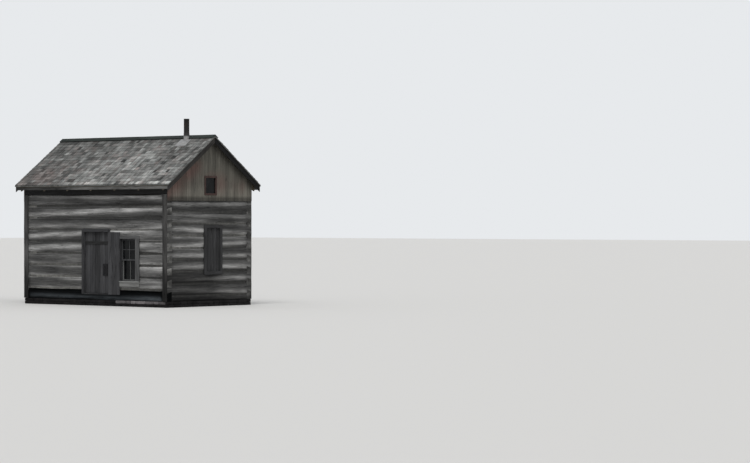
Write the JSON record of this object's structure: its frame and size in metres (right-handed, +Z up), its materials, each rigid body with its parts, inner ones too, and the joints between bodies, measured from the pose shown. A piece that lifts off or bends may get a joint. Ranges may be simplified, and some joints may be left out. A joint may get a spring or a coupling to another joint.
{
  "type": "hewn-log house",
  "caption": "Small weathered hewn-log house with notched corners, a plank door, windows, a boarded side opening, a shingled gable roof and a stovepipe.",
  "frame": {"origin": "on the ground below the middle of the house", "axes": "+X along the front wall towards the gable with the boarded opening, +Y from the front into the house, +Z up"},
  "size_m": [6.44, 3.88, 5.4497],
  "materials": {
    "stone": "rough fieldstone",
    "log": "weathered silver-grey hewn log",
    "chinking": "dried clay daub",
    "timber": "rough sawn softwood",
    "shingle": "weathered split shingles",
    "gable_board": "weathered boards with old reddish stain",
    "grey_board": "weathered dark grey boards",
    "pale_board": "weathered pale grey board",
    "dark_board": "nearly black old boards",
    "red_trim": "faded reddish paint",
    "glass": "old dusty window glass",
    "black_iron": "dull black iron",
    "sheet_metal": "dull light sheet metal"
  },
  "bodies": {
    "house": {"footing": "stone", "front_sill_log": "log", "front_logs_left": "log", "front_logs_middle": "log", "front_logs_right": "log", "front_logs_top": "log", "rear_logs": "log", "right_gable_logs": "log", "left_gable_logs": "log", "front_chinking": "chinking", "rear_chinking": "chinking", "gable_chinking": "chinking", "wall_plates": "log", "corner_boards": "dark_board", "floor_joists": "timber", "floor_boards": "timber", "loft_joists": "timber", "loft_boards": "timber", "front_rafters": "timber", "rear_rafters": "timber", "front_roof_boards": "timber", "rear_roof_boards": "timber", "front_shingles": "shingle", "rear_shingles": "shingle", "ridge_boards": "dark_board", "rake_boards": "dark_board", "eave_boards": "dark_board", "right_gable_boards": "gable_board", "left_gable_boards": "gable_board", "gable_studs": "timber", "attic_window_frame": "red_trim", "attic_window_glass": "glass", "door_frame": "grey_board", "door_casing": "grey_board", "panel_boards": "grey_board", "window_frame": "grey_board", "window_casing": "grey_board", "window_sill": "pale_board", "window_upper_sash": "grey_board", "window_lower_sash": "grey_board", "window_glass": "glass", "side_window_frame": "dark_board", "side_window_boards": "dark_board", "stove_pipe": "black_iron", "pipe_flashing": "sheet_metal", "door_pintles": "black_iron"},
    "door": {"door_leaf": "grey_board", "door_straps": "black_iron", "door_latch": "dark_board"}
  },
  "joints": [
    {"name": "door_hinge", "type": "hinge", "parent": "house", "child": "door", "pos_m": [-0.409, -1.6195, 1.2525], "axis": [0, 0, 1], "range_deg": [0, 95]}
  ]
}
